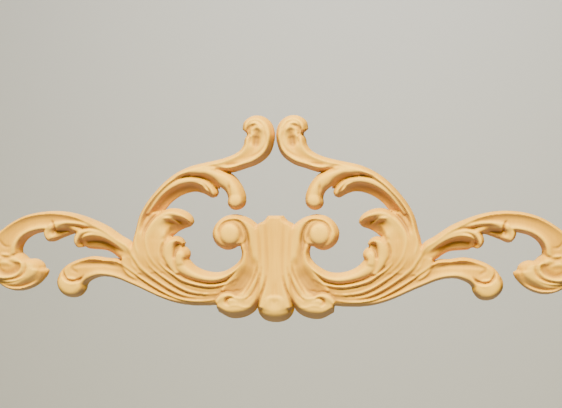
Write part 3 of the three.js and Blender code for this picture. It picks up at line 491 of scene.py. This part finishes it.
# %% Strokes
STROKES = {
    "shell": [
        ([(13.4, -30), (12, -25), (9.6, -18), (7.4, -12), (5.8, -5)], [4, 3.4, 2.4, 2, 1.4],
         [4, 4, 3, 2.4, .6]),
        ([(20, -21), (16.4, -17.6), (12.8, -11.6), (10.2, -5), (9, 1)], [1.6, 2, 1.8, 1.6, 1.2],
         [1.2, 2.4, 2.4, 2, .6]),
        ([(21, -17), (18.6, -13.4), (15.6, -8), (13, -2), (11.8, 5)], [1.8, 2.2, 2.4, 2.4, 1.4],
         [1.4, 2.2, 2.4, 2, .6]),
        ([(28, -15.6), (24, -15.4), (20.4, -12), (17.4, -7), (15, -1)], [2.4, 3.6, 3.6, 3.6, 2.4],
         [.9, 1.2, 1.1, .9, .3]),
        ([(1.4, -22), (1, -14), (1, -8)], [1.8, 2, 1.4], [.6, .7, .2]),
        ([(6.4, 34), (6, 24), (5.4, 12), (5.4, 0), (6, -8)], [2, 3, 3.4, 3, 2.4], [.2, .5, .6, .6, .5]),
        ([(11.4, 29), (10.8, 20), (10.2, 10), (9.6, 0)], [2, 3, 3, 2], [.2, .4, .5, .4]),
        ([(10.6, -29), (5, -29), (0, -29.6)], [1.6, 2.4, 2.4], [.3, .2, .1]),
        ([(27.6, -21.4), (30, -20), (33, -20.6), (34, -23), (32.4, -25)], [1.6, 2.6, 3.6, 3.6, 2],
         [.6, 1.8, 2.6, 2.4, .8]),
        ([(33, -26), (27, -25), (21, -26.4), (15, -26)], [1.6, 2, 2, 1.6], [-.3, -.5, -.5, -.3]),
        ([(40, -19), (36.6, -16.6), (32, -16.2), (28, -18), (26.4, -21.4)], [1.4, 2, 2, 2.2, 1.6],
         [1, 1.4, 1.4, 1.4, .6]),
    ],
    "volute": [
        ([(30, 35), (24, 32.4), (20.4, 27), (19, 20), (19.2, 13)], [2, 3.6, 4.6, 4.6, 2.6],
         [.3, 1, 1.5, 1.4, .3]),
        ([(27, 31), (24.4, 27.6), (22.8, 23), (21.8, 18.6)], [1.6, 2.4, 3, 2], [.4, .9, 1.2, .6]),
        ([(38.4, 28.4), (39, 26.4), (38.6, 24.4)], [1.4, 1.8, 1.4], [.6, 1.2, .6]),
        ([(36.6, 17.8), (33, 16), (29, 16)], [1.6, 1.8, 1.4], [.3, .6, .4]),
    ],
    "hook": [
        ([(203, 11), (197, 9), (191, 7.8), (186, 8.6), (183, 11)], [3, 3.6, 4, 3.6, 1.8],
         [1, 1.5, 1.8, 1.5, .4]),
        ([(180.6, 5.4), (179.6, 1.6), (181, -2.2), (185.6, -5.2), (192, -6.4), (200, -5.4)],
         [2.4, 2.6, 2.8, 2.8, 2.8, 2.8], [-.9, -1.5, -1.9, -2, -2, -1.6]),
        ([(183.4, 5), (182.4, 1.6), (184, -1.6), (189, -3.6), (198, -3.4)], [4, 6, 7, 7.4, 7],
         [.2, 1.1, 1.5, 1.6, 1.5]),
        ([(182.6, 3.4), (186, 1), (191, .4), (200, 1)], [4, 7, 8, 8], [.2, 1, 1.4, 1.3]),
        ([(177.4, 4.6), (177, 0), (178.8, -4), (184, -7.2), (191.4, -8.3), (201, -7.2)],
         [1.4, 1.8, 2, 2, 2, 1.8], [.6, 1.4, 2, 2.1, 2, 1.6]),
        ([(178, -7), (184.6, -9.6), (192, -10.4), (200, -9.4)], [1.2, 1.6, 1.6, 1.4], [.5, 1.5, 1.6, .9]),
        ([(162.6, -1.6), (164, -5.6), (168.6, -10), (175, -13), (183, -14.6), (191, -14), (198, -11)],
         [2, 2, 2, 2, 2, 2, 1.6], [-2.8, -2.2, -1.8, -1.8, -1.8, -1.6, -.8]),
        ([(167.4, -.4), (168.6, -4.6), (173, -8.8), (180.6, -11.6), (189, -12), (197, -9)],
         [3, 5.6, 7, 7.6, 6.6, 4], [.5, .9, 1.2, 1.3, 1.2, .6]),
        ([(165, 0), (166.2, -4), (170.4, -8.6), (177, -11.8), (184, -13.2), (191, -12.6)],
         [1.6, 1.8, 1.8, 1.8, 1.8, 1.4], [.7, .8, .9, .9, .8, .4]),
    ],
    "arm": [
        ([(196.6, 22), (195, 18), (192.4, 15.4), (188.6, 15.2)], [1.8, 2.4, 2.4, 1.8], [.4, .9, .9, .4]),
        ([(158, 33.4), (156.6, 31), (156.2, 27.6), (157, 24.4)], [1.4, 2, 2.2, 1.6], [1, 3.4, 4.4, 2]),
        ([(160.8, 30.6), (160.6, 27), (160.4, 23)], [1.4, 1.8, 1.2], [.3, .7, .3]),
        ([(129, 25.4), (133.6, 24.4), (136.8, 22), (138, 18.8), (137, 15.2)], [1.4, 1.8, 2, 2.2, 1.8],
         [.6, 2, 3.2, 3.6, 2.4]),
        ([(128, 23.8), (132, 23), (134.6, 20.4), (134.4, 17.4)], [1.4, 1.8, 1.8, 1.6],
         [-.6, -1, -1.2, -.8]),
        ([(132, 19), (127, 19.6), (120, 19), (113.4, 16), (108, 11.6)], [3, 4.6, 5, 4.4, 3],
         [.6, .9, .9, .7, .3]),
        ([(152, 28.6), (147, 29.6), (140, 29.4), (133, 27.4)], [4, 7, 7, 4], [1.2, 2, 1.6, .5]),
        ([(153.4, 26.8), (147, 27.4), (140, 26.6)], [3, 4.6, 3.4], [1.6, 3.2, 1.8]),
    ],
    "branch": [
        ([(142.6, 1.6), (136, 3.4), (127, 4), (118, 3.4), (108, .6)], [4, 6.4, 6.8, 6, 3],
         [.8, 1.7, 1.8, 1.4, .3]),
        ([(150.4, .4), (150.2, -4), (147.6, -7.8), (143, -9), (138.4, -7.8), (135.4, -5)],
         [1.4, 2, 2.4, 2.4, 2.2, 1.4], [1, 2.6, 3.6, 3.8, 3, 1]),
        ([(144.6, 1.6), (143.4, -1), (140.4, -3)], [2.4, 3, 2.4], [.6, 1, .5]),
        ([(147.4, -10), (143, -11), (138.4, -10)], [1.6, 2, 1.6], [-.3, -.5, -.3]),
    ],
    "leaf": [
        ([(76, 36.8), (71, 36.7), (67, 34.8), (64, 32.2)], [1.6, 2.4, 3, 3.6], [.3, .9, .4, -.9]),
        ([(76, 20.6), (73.4, 23.6), (71, 26), (67.6, 27.4)], [5, 9, 9.6, 6], [1, 2.8, 3.2, 1.4]),
        ([(78, 35.4), (74.6, 35.2), (70.6, 33.4), (67, 31)], [1.6, 2.2, 2.4, 2], [-.5, -1.5, -2, -1.4]),
        ([(91.6, 26), (88.8, 31.4), (85, 36), (80.4, 40.8)], [1.6, 2.6, 3, 2.4], [.8, 1.8, 2, 1.4]),
        ([(76.4, 20), (78.8, 16), (79.6, 12), (79, 8), (76.6, 4.6)], [1.8, 2.2, 2.4, 2.2, 1.4],
         [.8, 1.5, 1.6, 1.3, .5]),
    ],
    "arch": [
        ([(80, 57), (73, 61.8), (66, 64.6), (57, 65.6), (49, 64.6)], [1.4, 1.8, 2, 2, 1.6],
         [.4, 1, 1.2, 1, .3]),
        ([(31.4, 60), (31.4, 56), (31, 50.6)], [1.4, 2.4, 1.6], [.6, 2, .8]),
        ([(57, 61), (51.4, 60), (47.6, 57.4), (45.6, 54), (45.2, 50.6)], [1.4, 1.8, 2.2, 2.4, 2],
         [.4, 1.2, 1.8, 1.8, 1]),
        ([(56, 59), (51, 58.2), (48, 55.4), (46.8, 51.4)], [1.6, 1.8, 1.8, 1.4], [-.4, -1, -1.2, -.8]),
        ([(50, 72), (42, 71.2), (36, 69.4), (31, 66.6)], [1.4, 1.8, 2, 2], [.3, .7, 1, 1]),
    ],
    "neck": [
        ([(15.8, 93.8), (15, 96.4), (12.2, 97.8), (9.4, 96.6), (8.2, 93.8)], [2.8, 3.6, 4, 3.6, 2.8],
         [-.5, -1.4, -1.7, -1.3, -.4]),
        ([(18.6, 95.4), (17.4, 100), (13.6, 102.4), (9.4, 101), (6.6, 97)], [1.6, 2, 2, 2, 1.4],
         [1.2, 1.5, 1.5, 1.4, .6]),
        ([(20, 92.6), (17.6, 91.6), (16.8, 88.6), (17.6, 85)], [1.8, 2, 2, 1.4], [1.4, 1.8, 1.8, .5]),
        ([(12, 93), (12.4, 90.4), (12.8, 87), (13.4, 83)], [5, 7.6, 7.4, 4], [1.2, 2.4, 2.4, .4]),
        ([(7.4, 97), (5.6, 90.4), (7, 84.4), (12, 79.6), (20, 76.4)], [1.4, 1.8, 2, 2, 1.4],
         [.5, 1, 1.2, 1, .3]),
        ([(33.4, 72), (28, 72.6), (22, 73.6)], [2, 2.6, 1.6], [.8, 1.2, .3]),
    ],
}

# %% The parting lines of the reeds
REEDS = [
    [(80, 4), (75, -1), (70, -4.5), (65, -8), (60, -9.5), (55, -10.8), (45, -12), (35, -10.3), (30, -8)],
    [(88, 2), (80, -4.5), (75, -8), (70, -11.3), (65, -14), (60, -16), (52, -17.2), (45, -17.5),
     (38, -16.4)],
    [(101, 10.4), (98, 6), (95, 1), (90, -3.6), (85, -7), (75, -13.5), (70, -16), (64, -18.6), (56, -20)],
    [(113, 6), (110, 4.8), (100, -2), (90, -9), (82, -14), (75, -17.5), (65, -21), (55, -22.3), (45, -22)],
]
REED_LIP = ([1.4, 1.8, 1.8, 1.6], [-.3, -.6, -.6, -.2])
REED_GROOVE = ([1.6, 2.4, 2.4, 1.6], [.4, 1.1, 1.1, .3])
REED_STEP = 1.7


def beside(path, gap):
    """The same path, moved to its lower side."""
    p = np.array(path, float)
    heading = np.gradient(p, axis=0)
    heading /= np.linalg.norm(heading, axis=1)[:, None]
    return (p + gap * np.stack([-heading[:, 1], heading[:, 0]], 1)).tolist()


STROKES["reeds"] = ([(path, *REED_LIP) for path in REEDS]
                    + [(beside(path, REED_STEP), *REED_GROOVE) for path in REEDS])
print("strokes", sum(map(len, STROKES.values())))

# %% Cut the strokes and even the surface
STROKE_MARGIN = 1
STROKE_ROUNDNESS = 1.5
LOWEST_CUT = 6.4
CUT_REACH = 4.5
EDGE_ROUND = 1.8
TOP = 16.0


def stroke(target, path, width, depth):
    """Cuts one stroke into a map of levels."""
    steps = max(FEWEST_STROKE_STEPS, int(path_length(path) / RAIL_STEP))
    line = rail(path, steps)
    t = np.linspace(0, 1, steps + 1)
    reach = along(width, t) / 2
    deep = along(depth, t)
    spot, x, y = window(line.min(0) - reach.max() - STROKE_MARGIN, line.max(0) + reach.max() + STROKE_MARGIN)
    points = np.stack([x.ravel(), y.ravel()], 1)
    gap = np.linalg.norm(points[:, None] - line[None], axis=2)
    nearest = gap.argmin(1)
    ratio = np.clip(gap[np.arange(len(points)), nearest] / reach[nearest], 0, 1)
    cut = deep[nearest] * np.cos(ratio * math.pi / 2) ** STROKE_ROUNDNESS
    target[spot] -= cut.reshape(x.shape)


def blur(values, mask, rounds, reach=1):
    """Evens a grid out inside its mask, with the cells that lie a reach away.

    A cell counts 4 times, its 4 straight neighbours twice and its 4 slanting ones once.
    """
    weight = mask.astype(float)
    values = np.where(mask, values, 0.0)
    for _ in range(rounds):
        total, share = values * weight * 4, weight * 4
        for axis in (0, 1):
            for shift in (reach, -reach):
                total = total + np.roll(values * weight, shift, axis) * 2
                share = share + np.roll(weight, shift, axis) * 2
        for down in (reach, -reach):
            for right in (reach, -reach):
                total = total + np.roll(values * weight, (down, right), (0, 1))
                share = share + np.roll(weight, (down, right), (0, 1))
        values = np.where(mask, total / np.maximum(share, 1e-9), 0.0)
    return values


def both_sides(grid):
    """The half grid with its mirror image on the left."""
    return np.hstack([grid[:, :0:-1], grid])


inside = inside_map > 0
level_map = np.where(inside, np.maximum(level_map, EDGE), 0)
for cuts in STROKES.values():
    for cut in cuts:
        stroke(level_map, *cut)
depth_in = np.clip(inside_map / EDGE_ROUND, 0, 1)
lowest = EDGE + (LOWEST_CUT - EDGE) * np.clip(inside_map / CUT_REACH, 0, 1)
highest = EDGE + (TOP - EDGE) * np.sqrt(1 - (1 - depth_in) ** 2)
level_map = np.where(inside, np.clip(level_map, lowest, highest), 0)
levels = both_sides(level_map)
distance = both_sides(inside_map)
solid = distance > 0
levels = blur(levels, solid, 2)
outs = np.concatenate([-OUT[:0:-1], OUT])
print("levels from", round(levels[solid].min(), 2), "to", round(levels.max(), 2))

# %% [markdown]
# ## The body of the carving
# Cells that lie wholly inside become quads, and a cell that the outline crosses is cut along it. A
# square edge then runs down to the flat sawn back, which is filled with triangles. The points are held
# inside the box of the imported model, and the cell prints how far that moves any of them.

# %% Build the mesh
def build_carving(name):
    """The carved piece as one closed mesh."""
    gx, gy = np.meshgrid(outs, UP)
    node = -np.ones(solid.shape, int)
    node[solid] = np.arange(solid.sum())
    points = [np.stack([gx[solid], gy[solid], levels[solid]], 1)]
    count = int(solid.sum())

    def crossings(first, second, fx, fy, sx, sy, offset):
        """Points where the outline crosses the lines of the grid."""
        cross = (first > 0) != (second > 0)
        t = first[cross] / (first[cross] - second[cross])
        ids = -np.ones(cross.shape, int)
        ids[cross] = offset + np.arange(cross.sum())
        spot = np.stack([fx[cross] + t * (sx - fx)[cross], fy[cross] + t * (sy - fy)[cross],
                         np.full(cross.sum(), EDGE)], 1)
        return ids, spot

    flat, spot = crossings(distance[:, :-1], distance[:, 1:], gx[:, :-1], gy[:, :-1],
                           gx[:, 1:], gy[:, 1:], count)
    points.append(spot)
    count += len(spot)
    upright, spot = crossings(distance[:-1], distance[1:], gx[:-1], gy[:-1], gx[1:], gy[1:], count)
    points.append(spot)
    count += len(spot)
    corners = np.vstack(points)

    inner = solid[:-1, :-1].astype(int) + solid[:-1, 1:] + solid[1:, 1:] + solid[1:, :-1]
    i, j = np.nonzero(inner == 4)
    faces = np.stack([node[i, j], node[i, j + 1], node[i + 1, j + 1], node[i + 1, j]], 1).tolist()
    rim = {}
    for i, j in zip(*np.nonzero((inner > 0) & (inner < 4))):
        ring = [(i, j), (i, j + 1), (i + 1, j + 1), (i + 1, j)]
        edges = [flat[i, j], upright[i, j + 1], flat[i + 1, j], upright[i, j]]
        polygon = []
        leaving = []
        for k in range(4):
            here, ahead = solid[ring[k]], solid[ring[(k + 1) % 4]]
            if here:
                polygon.append(node[ring[k]])
            if here != ahead:
                polygon.append(edges[k])
                leaving.append((edges[k], here))
        faces.append(polygon)
        for k, (edge_point, out_going) in enumerate(leaving):
            if out_going:
                rim[edge_point] = leaving[(k + 1) % len(leaving)][0]

    first_low = len(corners)
    rim_points = sorted(rim)
    low_of = {p: first_low + k for k, p in enumerate(rim_points)}
    low = corners[rim_points].copy()
    low[:, 2] = 0
    corners = np.vstack([corners, low])
    for p, q in rim.items():
        faces.append([q, p, low_of[p], low_of[q]])
    left = set(rim)
    loops = []
    while left:
        start = min(left)
        loop = [start]
        left.discard(start)
        while rim[loop[-1]] != start:
            loop.append(rim[loop[-1]])
            left.discard(loop[-1])
        loops.append(loop)
    print("outline loops", [len(loop) for loop in loops])
    for loop in loops:
        flat_ring = [Vector((corners[p][0], corners[p][1], 0)) for p in loop]
        for a, b, c in tessellate_polygon([flat_ring]):
            ids = [low_of[loop[k]] for k in (a, b, c)]
            p, q, r = (corners[k][:2] for k in ids)
            turn = (q[0] - p[0]) * (r[1] - p[1]) - (q[1] - p[1]) * (r[0] - p[0])
            faces.append(ids if turn < 0 else ids[::-1])

    free = np.stack([corners[:, 0] * OUT_SCALE, -corners[:, 2], corners[:, 1] * UP_SCALE], 1) * MM
    place = np.clip(free, np.array(cad_low), np.array(cad_high))
    moved = np.abs(place - free) / MM
    print("held inside the box", int((moved.max(1) > 0).sum()), "points, by at most",
          [round(float(v), 3) for v in moved.max(0)], "mm")
    mesh = bpy.data.meshes.new(name)
    mesh.from_pydata(place.tolist(), [], faces)
    mesh.polygons.foreach_set("use_smooth", [True] * len(mesh.polygons))
    mesh.update()
    piece = bpy.data.objects.new(name, mesh)
    bpy.context.scene.collection.objects.link(piece)
    return piece


SHARP_ANGLE = math.radians(62)
carving = build_carving("carved_crest")
carving.data.set_sharp_from_angle(angle=SHARP_ANGLE)
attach(carving, "root")
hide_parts("applique")
triangles = sum(len(face.vertices) - 2 for face in carving.data.polygons)
print("carved crest", len(carving.data.vertices), "points", triangles, "triangles")

# %% [markdown]
# ## Shader sums as Python
# Node graphs are easier to read as sums. A small class wraps a socket, so that an expression such as
# fibre * 0.3 + cloud * 0.35 adds its own Math nodes. Colours go through Mix nodes, because a Math node
# would turn them grey.

# %% A socket that can be calculated with
class Sum:
    """One output socket of a material's node tree."""

    def __init__(self, tree, socket):
        self.tree = tree
        self.socket = socket

    def node(self, kind, settings=None, **inputs):
        """Adds a node: its settings first, then its sockets by name or number."""
        made = self.tree.nodes.new(kind)
        for key, value in (settings or {}).items():
            setattr(made, key, value)
        for key, value in inputs.items():
            target = made.inputs[int(key[1:]) if key[0] == "_" else key.replace("_", " ")]
            if isinstance(value, Sum):
                self.tree.links.new(value.socket, target)
            else:
                target.default_value = value
        return made

    def math(self, operation, *values):
        """One Math node."""
        made = self.node("ShaderNodeMath", {"operation": operation},
                         **{f"_{k}": value for k, value in enumerate(values)})
        return Sum(self.tree, made.outputs[0])

    def __add__(self, other):
        return self.math("ADD", self, other)

    def __radd__(self, other):
        return self.math("ADD", other, self)

    def __sub__(self, other):
        return self.math("SUBTRACT", self, other)

    def __rsub__(self, other):
        return self.math("SUBTRACT", other, self)

    def __mul__(self, other):
        return self.math("MULTIPLY", self, other)

    def __rmul__(self, other):
        return self.math("MULTIPLY", other, self)

    def spread(self, low, high):
        """The value's own range from low to high, as 0 to 1."""
        made = self.node("ShaderNodeMapRange", {"clamp": True}, Value=self, From_Min=low, From_Max=high)
        return Sum(self.tree, made.outputs[0])

    def stretched(self, factors):
        """A vector times a fixed one."""
        made = self.node("ShaderNodeVectorMath", {"operation": "MULTIPLY"}, _0=self, _1=factors)
        return Sum(self.tree, made.outputs[0])

    def noise(self, scale, detail=3.0, roughness=0.5):
        """Cloudy values at this place."""
        made = self.node("ShaderNodeTexNoise", None, Vector=self, Scale=scale, Detail=detail,
                         Roughness=roughness)
        return Sum(self.tree, made.outputs[0])

    def mixed(self, first, second):
        """This value blends two colours."""
        made = self.node("ShaderNodeMix", {"data_type": "RGBA", "clamp_factor": True},
                         _0=self, _6=first, _7=second)
        return Sum(self.tree, made.outputs[2])


# %% [markdown]
# ## The wood
# The real crest is pale raw wood, sanded but not varnished: warm tan, with faint fibres, which run
# upright here. Painted shade darkens the hollows and painted highlight lightens the crests, and slopes
# that face down get a browner painted shade. So the level map leaves two marks on the mesh, one of how
# hollow each point is and one of how far it faces down, and the colour follows both.

# %% Mark hollows, crests and undersides on the mesh, for painted shade and painted highlight
EVENING_ROUNDS = 12
WIDE_DEPTH = 2.8
FINE_DEPTH = 0.8
FINE_SHARE = 0.6
PLAIN_RIM = 1.5
RIM_FADE = 2.5
# Painted shade and highlight: this map is positive in hollows, where it paints shade, and negative on
# crests, where it paints highlight.
wide_levels = blur(blur(levels, solid, EVENING_ROUNDS, reach=3), solid, EVENING_ROUNDS, reach=6)
wide_hollow = (wide_levels - levels) / WIDE_DEPTH
fine_hollow = (blur(levels, solid, EVENING_ROUNDS) - levels) / FINE_DEPTH
shade_and_highlight_map = np.clip(wide_hollow + FINE_SHARE * np.clip(fine_hollow, -1, 1), -1, 1)
shade_and_highlight_map *= np.clip((distance - PLAIN_RIM) / RIM_FADE, 0, 1)
# Painted shade on slopes that face down: how steeply the level climbs upwards.
under_shade_map = np.clip(np.gradient(blur(levels, solid, 2), CELL, axis=0), 0, 1)
for name, grid in (("painted_shade_and_highlight", shade_and_highlight_map), ("painted_under_shade", under_shade_map)):
    values = np.zeros(len(carving.data.vertices), np.float32)
    values[:solid.sum()] = grid[solid]
    attribute = carving.data.attributes.new(name, "FLOAT", "POINT")
    attribute.data.foreach_set("value", values)
    print(name, "from", round(float(values.min()), 2), "to", round(float(values.max()), 2))

# %% The wood's material
FIBRE_STRETCH = (900, 300, 60)
FIGURE_STRETCH = (60, 40, 9)
CLOUD_SCALE = 26.0
DARK_WOOD = (0.53, 0.265, 0.018, 1)
LIGHT_WOOD = (0.68, 0.36, 0.032, 1)
# Painted shade for the hollows and painted highlight for the crests.
PAINTED_HOLLOW_SHADE = (0.36, 0.18, 0.032, 1)
PAINTED_CREST_HIGHLIGHT = (0.80, 0.52, 0.09, 1)
# Painted shade for slopes that face down.
PAINTED_UNDER_SHADE = (0.56, 0.345, 0.21, 1)
CREST_HIGHLIGHT_STRENGTH = 0.5
UNDER_SHADE_STRENGTH = 0.66
LEAST_ROUGHNESS = 0.5
ROUGHNESS_RANGE = 0.2
FIBRE_HEIGHT = 0.0002
FIBRE_STRENGTH = 0.22
GLOSS = 0.15


def pale_wood():
    """Raw sanded hardwood, with painted shade in hollows and on undersides and painted highlight on crests.
    """
    material = bpy.data.materials.new("pale_wood")
    material.use_nodes = True
    tree = material.node_tree
    shader = tree.nodes["Principled BSDF"]
    start = Sum(tree, None)
    place = Sum(tree, start.node("ShaderNodeTexCoord").outputs["Object"])
    painted_shade_and_highlight = Sum(tree, start.node("ShaderNodeAttribute", {"attribute_name": "painted_shade_and_highlight"}).outputs["Fac"])
    painted_under_shade = Sum(tree, start.node("ShaderNodeAttribute", {"attribute_name": "painted_under_shade"}).outputs["Fac"])
    fibre = place.stretched(FIBRE_STRETCH).noise(1.0, 3.0, 0.6)
    figure = place.stretched(FIGURE_STRETCH).noise(1.0, 2.0, 0.5)
    cloud = place.noise(CLOUD_SCALE, 3.0, 0.5)
    tone = (fibre * 0.3 + figure * 0.35 + cloud * 0.35).spread(0.36, 0.64)
    grain = tone.mixed(DARK_WOOD, LIGHT_WOOD)
    # Painted shade darkens the hollows, and painted highlight lightens the crests.
    hollow_shaded = painted_shade_and_highlight.spread(0.0, 0.75).mixed(grain, PAINTED_HOLLOW_SHADE)
    crest_highlight = (0 - painted_shade_and_highlight).spread(0.05, 0.5) * CREST_HIGHLIGHT_STRENGTH
    with_crest_highlight = crest_highlight.mixed(hollow_shaded, PAINTED_CREST_HIGHLIGHT)
    # Painted shade makes the slopes that face down browner.
    shaded = painted_under_shade.spread(0.3, 1.0) * UNDER_SHADE_STRENGTH
    colour = shaded.mixed(with_crest_highlight, PAINTED_UNDER_SHADE)
    tree.links.new(colour.socket, shader.inputs["Base Color"])
    rough = LEAST_ROUGHNESS + cloud * ROUGHNESS_RANGE
    tree.links.new(rough.socket, shader.inputs["Roughness"])
    bump = start.node("ShaderNodeBump", None, Height=fibre, Strength=FIBRE_STRENGTH, Distance=FIBRE_HEIGHT)
    tree.links.new(bump.outputs[0], shader.inputs["Normal"])
    shader.inputs["Specular IOR Level"].default_value = GLOSS
    return material


carving.data.materials.append(pale_wood())
wood = carving.data.materials[0]
print("material", wood.name, len(wood.node_tree.nodes), "nodes")

# %% [markdown]
# ## Floor, light and camera
# The crest is shown as if fixed on an unseen wall, so nothing stands behind it. A plain pale floor lies
# well below. A warm soft light hangs above the front, two weaker ones fill the shade, and a fourth
# lights the floor's rise far behind.

# %% Floor and surroundings
FLOOR_LEVEL = -2.0
FLOOR_HALF_WIDTH = 6.0
FLOOR_FRONT = -6.0
FLOOR_BACK = 3.2
FLOOR_TURN = 1.0
FLOOR_TOP = 4.0
TURN_STEPS = 12


def plain_material(name, colour, roughness):
    """One even finish."""
    material = bpy.data.materials.new(name)
    material.use_nodes = True
    shader = material.node_tree.nodes["Principled BSDF"]
    shader.inputs["Base Color"].default_value = (*colour, 1)
    shader.inputs["Roughness"].default_value = roughness
    return material


def pale_floor():
    """A floor that curves up far behind into a backdrop."""
    bend = FLOOR_BACK - FLOOR_TURN
    profile = [(FLOOR_FRONT, FLOOR_LEVEL), (bend, FLOOR_LEVEL)]
    for k in range(1, TURN_STEPS + 1):
        angle = math.pi / 2 * k / TURN_STEPS
        rise = FLOOR_TURN * (1 - math.cos(angle))
        profile.append((bend + FLOOR_TURN * math.sin(angle), FLOOR_LEVEL + rise))
    profile.append((FLOOR_BACK, FLOOR_TOP))
    corners = [(side * FLOOR_HALF_WIDTH, y, z) for y, z in profile for side in (-1, 1)]
    faces = [(2 * k, 2 * k + 1, 2 * k + 3, 2 * k + 2) for k in range(len(profile) - 1)]
    mesh = bpy.data.meshes.new("floor")
    mesh.from_pydata(corners, [], faces)
    mesh.polygons.foreach_set("use_smooth", [True] * len(faces))
    mesh.materials.append(plain_material("pale_paper", (0.78, 0.77, 0.75), 0.9))
    piece = bpy.data.objects.new("floor", mesh)
    bpy.context.scene.collection.objects.link(piece)
    return piece


floor = pale_floor()
world = bpy.data.worlds.new("soft_room")
world.use_nodes = True
background = world.node_tree.nodes["Background"]
background.inputs["Color"].default_value = (0.95, 0.97, 1.0, 1)
background.inputs["Strength"].default_value = 0.13
bpy.context.scene.world = world


def soft_light(name, place, target, wide, power, colour):
    """A square lamp that faces a point."""
    data = bpy.data.lights.new(name, "AREA")
    data.shape = "SQUARE"
    data.size = wide
    data.energy = power
    data.color = colour
    lamp = bpy.data.objects.new(name, data)
    lamp.location = place
    lamp.rotation_euler = (Vector(target) - Vector(place)).to_track_quat("-Z", "Y").to_euler()
    bpy.context.scene.collection.objects.link(lamp)


HEART = (0, 0, 0.03)
BACKDROP = (0, 2.6, -0.1)
soft_light("top_light", (0.02, -0.82, 1.0), HEART, wide=0.45, power=94, colour=(1, 0.89, 0.42))
soft_light("front_fill", (-0.2, -1.6, -0.1), HEART, wide=1.0, power=4, colour=(1, 0.95, 0.86))
soft_light("back_fill", (-0.6, 1.3, 0.9), HEART, wide=1.0, power=9, colour=(0.97, 0.98, 1))
soft_light("floor_light", (0, 1.2, 1.6), BACKDROP, wide=1.4, power=60, colour=(0.96, 0.97, 1))

# %% [markdown]
# ## Camera
# The photograph was taken from a little to the right and above the middle, from less than a metre
# away, with the crest filling the frame from side to side. The eye and the point it looks at are given
# in millimetres: to the right, away from the viewer and up.

# %% Camera
FRAME_WIDTH_PX = 562
EYE = (88.83, -800, 63)
AIM = (4.33, -8, 45)
MM_PER_PX = 0.6956
FOCAL_PX = -EYE[1] / MM_PER_PX
SENSOR = 36.0
ROLL = math.radians(-0.21)

eye = Vector((EYE[0] * OUT_SCALE * MM, EYE[1] * OUT_SCALE * MM, EYE[2] * UP_SCALE * MM))
aim = Vector((AIM[0] * OUT_SCALE * MM, AIM[1] * MM, AIM[2] * UP_SCALE * MM))
ahead = (aim - eye).normalized()
right = ahead.cross(Vector((0, 0, 1))).normalized()
upward = right.cross(ahead)
rolled_right = right * math.cos(ROLL) + upward * math.sin(ROLL)
rolled_up = upward * math.cos(ROLL) - right * math.sin(ROLL)
turn = Matrix((rolled_right, rolled_up, -ahead)).transposed().to_4x4()
camera_data = bpy.data.cameras.new("camera")
camera_data.sensor_width = SENSOR
camera_data.lens = FOCAL_PX / FRAME_WIDTH_PX * SENSOR
camera = bpy.data.objects.new("camera", camera_data)
camera.matrix_world = Matrix.Translation(eye) @ turn
bpy.context.scene.collection.objects.link(camera)
bpy.context.scene.camera = camera
print("lens", round(camera_data.lens, 2), "mm")
